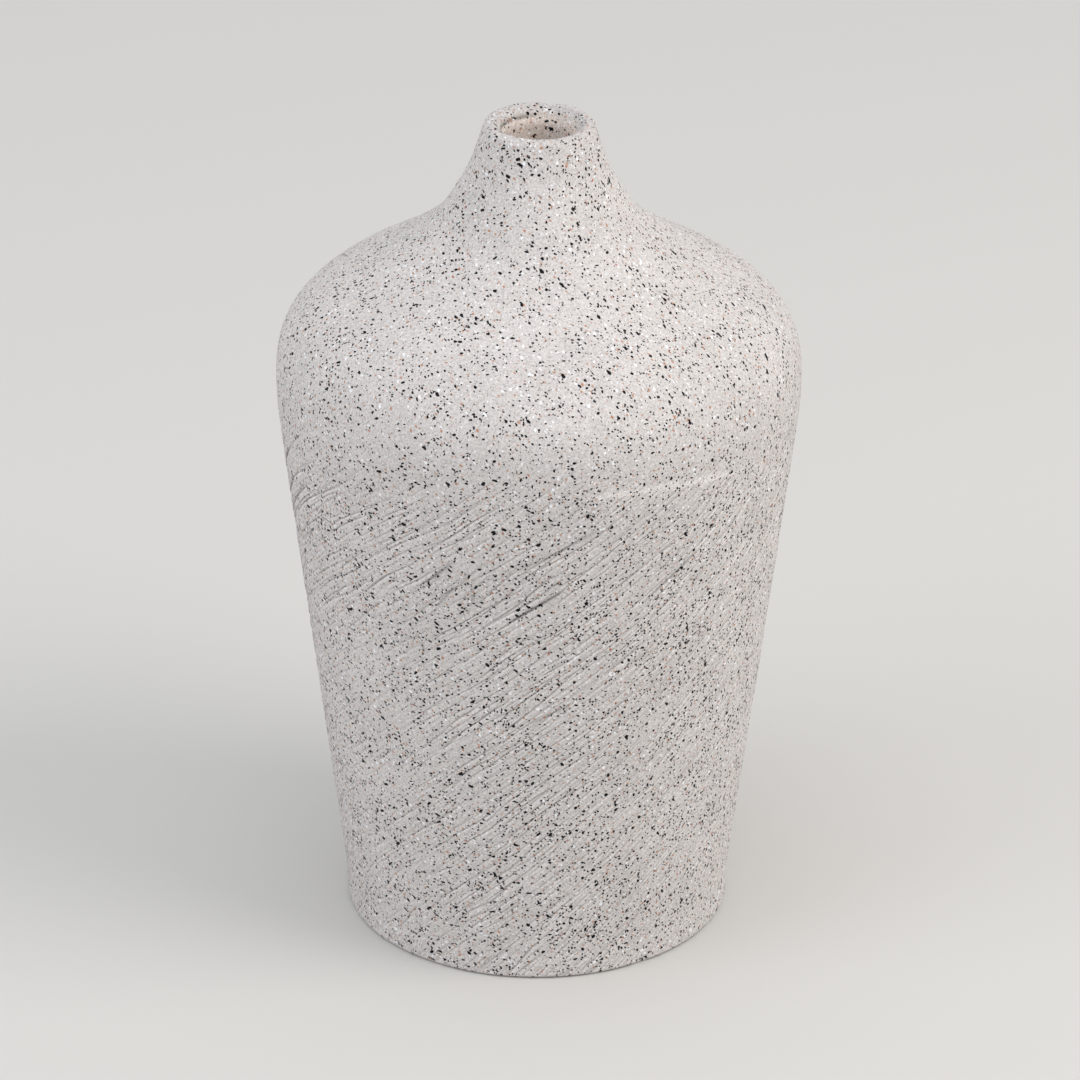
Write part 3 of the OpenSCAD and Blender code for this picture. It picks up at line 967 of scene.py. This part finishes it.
def clay_group(grains):
    """Colour, roughness and grain height of the fired clay: a mottled body with white, grey, rust
    and black grains. The black ones stand in loose clusters and small rings, and the wall holds
    more of them than the shoulder."""
    tree, given, result = new_group("Speckled Clay", (
        ("Position", "Vector", None), ("Clay", "Color", (0.6, 0.57, 0.54, 1)),
        ("Dark", "Color", (0.02, 0.02, 0.02, 1)), ("Rust", "Color", (0.4, 0.2, 0.1, 1)),
        ("White", "Color", (0.85, 0.85, 0.85, 1)), ("Groove", "Float", 0.0),
    ), (("Color", "Color"), ("Roughness", "Float"), ("Height", "Float")))
    position = given["Position"]
    ragged = put(tree, "ShaderNodeTexNoise", {
        "Vector": position, "Scale": 1 / RAGGED, "Detail": 2.0}).outputs["Color"]
    shifted = vector_of(tree, "ADD", position, scaled(
        tree, vector_of(tree, "SUBTRACT", ragged, (0.5, 0.5, 0.5)), RAGGED))

    mottle = cloud(tree, position, 24 * MM, 3.0)
    grain = cloud(tree, position, 0.85 * MM, 2.0, 0.8)
    tone = sum_of(tree, "ADD", ramp(tree, mottle, 0.3, 0.7, 0.965, 1.02), ramp(
        tree, grain, 0.3, 0.7, -0.25, 0.25, soft=False))
    # Painted shade and painted highlight: the tone is darkened by the last input where it is above 0 and
    # lightened where it is below 0
    tone = sum_of(tree, "MULTIPLY", tone, sum_of(tree, "MULTIPLY_ADD", given["Groove"], -0.62, 1.0))
    colour = mixed(tree, 1.0, given["Clay"], put(
        tree, "ShaderNodeCombineColor", {0: tone, 1: tone, 2: tone}).outputs[0], "MULTIPLY")

    for sort, cell, share, smallest, largest, stretch, faintest, strongest in GRAINS:
        fleck = place(tree, grains, {
            "Position": shifted, "Cell": cell, "Share": share, "Smallest": smallest, "Largest": largest,
            "Softness": 0.05, "Stretch": stretch})
        shown = sum_of(tree, "MULTIPLY", fleck["Mask"], ramp(
            tree, fleck["Shade"], 0, 1, faintest, strongest, soft=False))
        colour = mixed(tree, shown, colour, given[sort])

    height_up = put(tree, "ShaderNodeSeparateXYZ", {0: position}).outputs[2]
    lower = ramp(tree, height_up, 0.235, 0.175, 0.8, 1.0)
    cluster = ramp(tree, cloud(tree, position, 13 * MM, 2.0), 0.34, 0.66, 0.65, 1.3)
    ring = put(tree, "ShaderNodeTexVoronoi", {"Vector": shifted, "Scale": 1 / RING_CELL})
    shell = ramp(tree, sum_of(tree, "ABSOLUTE", sum_of(
        tree, "SUBTRACT", ring.outputs["Distance"], RING_RADIUS)), 0.0, RING_WIDTH, 1.0, 0.0)
    plenty = sum_of(tree, "ADD", sum_of(tree, "MULTIPLY", lower, cluster), sum_of(
        tree, "MULTIPLY", shell, 0.9))
    dark = 0.0
    for cell, share, smallest, largest, stretch in BLACK_GRAINS:
        speck = place(tree, grains, {
            "Position": shifted, "Cell": cell, "Share": sum_of(tree, "MULTIPLY", plenty, share),
            "Smallest": smallest, "Largest": largest, "Softness": 0.03, "Stretch": stretch})
        dark = sum_of(tree, "MAXIMUM", speck["Mask"], dark)
    colour = mixed(tree, dark, colour, given["Dark"])

    tree.links.new(colour, result["Color"])
    tree.links.new(ramp(tree, dark, 0, 1, 0.86, 0.62, soft=False), result["Roughness"])
    pits = ramp(tree, cloud(tree, position, 1.5 * MM, 2.0, 0.6), 0.26, 0.42)
    bumps = sum_of(tree, "ADD", sum_of(tree, "MULTIPLY", grain, 0.6), sum_of(tree, "MULTIPLY", pits, 0.5))
    tree.links.new(bumps, result["Height"])
    return tree


# Share of the clay's grain in the fine relief of a finish, and the height of that relief
GRAIN_BUMP = 0.32
BUMP_HEIGHT = 0.25 * MM


def stoneware(name, colours, surface, clay_tree, scraper_tree, bare):
    """Material of one finish. A bare one has the throat's colour and no scraping all over; on the others
    the piece's own attributes say where the throat and the scraping are, and where painted shade and
    painted highlight go into the colour."""
    material = bpy.data.materials.new(name)
    material.use_nodes = True
    tree = material.node_tree
    shader = tree.nodes["Principled BSDF"]
    position = put(tree, "ShaderNodeTexCoord").outputs["Object"]
    inside, groove = bare, 0.0
    if not bare:
        inside = put(tree, "ShaderNodeAttribute", attribute_name="inside").outputs["Fac"]
        # Painted shade and painted highlight for the colour, from the piece's attribute
        groove = put(tree, "ShaderNodeAttribute", attribute_name="groove").outputs["Fac"]
    body = mixed(tree, inside, tuple(colours.clay), tuple(colours.throat))
    clay = place(tree, clay_tree, {
        "Position": position, "Clay": body, "Dark": tuple(colours.dark), "Rust": tuple(colours.rust),
        "White": tuple(colours.white), "Groove": groove})
    height = sum_of(tree, "MULTIPLY", clay["Height"], GRAIN_BUMP)
    if not bare:
        scraped = put(tree, "ShaderNodeAttribute", attribute_name="scraped").outputs["Fac"]
        lines = place(tree, scraper_tree, {"Position": position, "Lean": surface.lean})
        height = sum_of(tree, "ADD", height, sum_of(tree, "MULTIPLY", lines["Height"], scraped))
    bump = put(tree, "ShaderNodeBump", {"Height": height, "Strength": 1.0, "Distance": BUMP_HEIGHT})
    tree.links.new(clay["Color"], shader.inputs["Base Color"])
    tree.links.new(clay["Roughness"], shader.inputs["Roughness"])
    tree.links.new(bump.outputs["Normal"], shader.inputs["Normal"])
    shader.inputs["Specular IOR Level"].default_value = 0.12
    return material


def finish(slot):
    """Material of a record slot, made with its node groups the first time that it is asked for."""
    made = bpy.data.materials.get(f"fired_{slot}")
    if made:
        return made
    scene = bpy.context.scene
    grains = bpy.data.node_groups.get("Grog Grains") or grains_group()
    clay_tree = bpy.data.node_groups.get("Speckled Clay") or clay_group(grains)
    scraper_tree = bpy.data.node_groups.get("Scraper Lines") or scraper_group()
    bare = 1.0 if slot == THROAT_SLOT else 0.0
    return stoneware(f"fired_{slot}", scene.vase_colours, scene.vase_surface, clay_tree, scraper_tree, bare)


def dress(piece, node, slot):
    """Gives a piece its material and puts it in the place of its CAD node."""
    piece.data.materials.append(finish(slot))
    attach(piece, "root")
    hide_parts(node)


# Operators

def add_courses(names, slot):
    """Adds the named courses, each as a closed ring of clay."""
    scene = bpy.context.scene
    walk = walk_clay(scene.vase_shape)
    for name in names:
        ring = course_ring(walk, scene.vase_surface, scene.vase_shape, COURSES.index(name))
        dress(add_clay(f"clay_{name}", ring, True), name, slot)


class VASE_OT_slab(Operator):
    """Adds the slab that the vase stands on"""

    bl_idname = "vase.slab"
    bl_label = "Add Slab"

    def execute(self, context):
        surface, shape = context.scene.vase_surface, context.scene.vase_shape
        walk = walk_clay(shape)
        foot = walk.marks[0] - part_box("lower_wall")[0].z - FINE_UNDER
        count = surface.columns
        ring = stacked(
            skin(walk, surface, POLE_RING, foot, surface.inner_gap, count),
            skin(walk, surface, foot + surface.fine_gap, walk.marks[0], surface.fine_gap, count),
            joint_skin(walk, surface, shape, 0, 13, count),
            skin(walk, surface, walk.marks[13], walk.length[-1] - POLE_RING, surface.inner_gap, count))
        dress(add_clay("clay_base_slab", ring, False), "base_slab", SCRAPED_SLOT)
        return {"FINISHED"}


class VASE_OT_walls(Operator):
    """Adds the three scraped wall courses"""

    bl_idname = "vase.walls"
    bl_label = "Add Walls"

    def execute(self, context):
        add_courses(COURSES[:3], SCRAPED_SLOT)
        return {"FINISHED"}


class VASE_OT_shoulder(Operator):
    """Adds the belly, the shoulder and the neck"""

    bl_idname = "vase.shoulder"
    bl_label = "Add Belly, Shoulder and Neck"

    def execute(self, context):
        add_courses(COURSES[3:], SMOOTH_SLOT)
        return {"FINISHED"}


class VASE_OT_lip(Operator):
    """Adds the thick rounded lip"""

    bl_idname = "vase.lip"
    bl_label = "Add Lip"

    def execute(self, context):
        surface, shape = context.scene.vase_surface, context.scene.vase_shape
        walk = walk_clay(shape)
        ring = stacked(
            skin(walk, surface, walk.marks[6], walk.marks[7], surface.fine_gap, surface.columns),
            joint_skin(walk, surface, shape, 7, 6, surface.columns))
        dress(add_clay("clay_lip", ring, True), "lip", SMOOTH_SLOT)
        return {"FINISHED"}


class VASE_OT_coils(Operator):
    """Adds the coils that close the joints on the inside"""

    bl_idname = "vase.coils"
    bl_label = "Add Seam Coils"

    def execute(self, context):
        surface, shape = context.scene.vase_surface, context.scene.vase_shape
        walk = walk_clay(shape)
        names = ("base", "lower", "middle", "belly", "shoulder", "neck")
        for i, name in enumerate(names):
            points = coil_ring(walk, surface, shape, 13 - i, 200 + 10 * i)
            rows, columns = points.shape[:2]
            coil = add_object(f"clay_{name}_seam_coil", points.reshape(-1, 3),
                              band_faces(rows, columns, True), np.zeros((0, 3), int), None, {})
            dress(coil, f"{name}_seam_coil", THROAT_SLOT)
        return {"FINISHED"}


# Lights: name, place, width and colour; each one's power is a setting
LIGHTS = (
    ("key", (1.7, -0.7, 1.9), 1.6, (1.0, 0.945, 0.89)),
    ("fill", (-1.9, -1.0, 1.5), 1.6, (0.87, 0.93, 1.0)),
    ("top", (-0.1, -0.5, 2.4), 1.5, (1.0, 0.99, 0.98)),
)


def add_light(name, place_at, aim, size, power, colour):
    """Round area light that shines towards a point and isn't seen itself."""
    light = bpy.data.lights.new(name, "AREA")
    light.shape = "DISK"
    light.size = size
    light.energy = power
    light.color = colour
    lamp = bpy.data.objects.new(name, light)
    lamp.location = place_at
    lamp.rotation_euler = (Vector(aim) - Vector(place_at)).to_track_quat("-Z", "Y").to_euler()
    lamp.visible_camera = False
    bpy.context.scene.collection.objects.link(lamp)


def add_floor(studio):
    """Plain floor at the height of the vase's underside."""
    half = studio.floor_size / 2
    mesh = bpy.data.meshes.new("floor")
    corners = [(-half, -half, 0), (half, -half, 0), (half, half, 0), (-half, half, 0)]
    mesh.from_pydata(corners, [], [(0, 1, 2, 3)])
    floor = bpy.data.objects.new("floor", mesh)
    bpy.context.scene.collection.objects.link(floor)
    material = bpy.data.materials.new("floor_paper")
    material.use_nodes = True
    shader = material.node_tree.nodes["Principled BSDF"]
    shader.inputs["Base Color"].default_value = tuple(studio.floor_colour)
    shader.inputs["Roughness"].default_value = 0.9
    shader.inputs["Specular IOR Level"].default_value = 0.1
    mesh.materials.append(material)


def add_camera(studio):
    """Camera in front of the vase, which looks down at it."""
    lens = bpy.data.cameras.new("camera")
    lens.lens = studio.lens
    lens.sensor_width = 36
    lens.clip_end = 500
    camera = bpy.data.objects.new("camera", lens)
    camera.location = (0, -studio.camera_back, studio.camera_height)
    camera.rotation_mode = "XYZ"
    forward = Vector((
        math.sin(studio.camera_yaw) * math.cos(studio.camera_pitch),
        math.cos(studio.camera_yaw) * math.cos(studio.camera_pitch),
        -math.sin(studio.camera_pitch)))
    camera.rotation_euler = forward.to_track_quat("-Z", "Y").to_matrix().to_euler()
    camera.rotation_euler.rotate_axis("Z", studio.camera_roll)
    bpy.context.scene.collection.objects.link(camera)
    bpy.context.scene.camera = camera


class VASE_OT_stage(Operator):
    """Adds the floor, the soft lights and the camera"""

    bl_idname = "vase.stage"
    bl_label = "Add Stage"

    def execute(self, context):
        scene, studio = context.scene, context.scene.vase_studio
        add_floor(studio)
        aim = (CAD_BOX[0] + CAD_BOX[1]) / 2
        for name, place_at, width, colour in LIGHTS:
            add_light(name, place_at, aim, width, getattr(studio, f"{name}_power"), colour)
        world = bpy.data.worlds.new("studio")
        scene.world = world
        world.use_nodes = True
        back = world.node_tree.nodes["Background"]
        back.inputs["Color"].default_value = (0.97, 0.985, 1.0, 1)
        back.inputs["Strength"].default_value = studio.ambient
        scene.view_settings.view_transform = "Standard"
        add_camera(studio)
        return {"FINISHED"}


class VASE_PT_panel(Panel):
    """Lists the vase's pieces and settings"""

    bl_idname = "VASE_PT_panel"
    bl_label = "Stoneware Vase"
    bl_space_type = "VIEW_3D"
    bl_region_type = "UI"
    bl_category = "Vase"

    def draw(self, context):
        layout = self.layout
        for step in OPERATORS:
            layout.operator(step.bl_idname)
        for label, _ in SETTINGS:
            box = layout.box()
            group = getattr(context.scene, label)
            for name in group.__annotations__:
                box.prop(group, name)


OPERATORS = (VASE_OT_slab, VASE_OT_walls, VASE_OT_shoulder, VASE_OT_lip, VASE_OT_coils, VASE_OT_stage)
SETTINGS = (
    ("vase_shape", VaseShape), ("vase_surface", VaseSurface), ("vase_colours", VaseColours),
    ("vase_studio", StudioSettings))


def register():
    for label, group in SETTINGS:
        bpy.utils.register_class(group)
        setattr(bpy.types.Scene, label, PointerProperty(type=group))
    for cls in (*OPERATORS, VASE_PT_panel):
        bpy.utils.register_class(cls)


def unregister():
    for cls in (VASE_PT_panel, *reversed(OPERATORS)):
        bpy.utils.unregister_class(cls)
    for label, group in reversed(SETTINGS):
        delattr(bpy.types.Scene, label)
        bpy.utils.unregister_class(group)


def main():
    """Builds everything in order."""
    register()
    bpy.ops.vase.slab()
    bpy.ops.vase.walls()
    bpy.ops.vase.shoulder()
    bpy.ops.vase.lip()
    bpy.ops.vase.coils()
    bpy.ops.vase.stage()


if __name__ == "__main__":
    main()
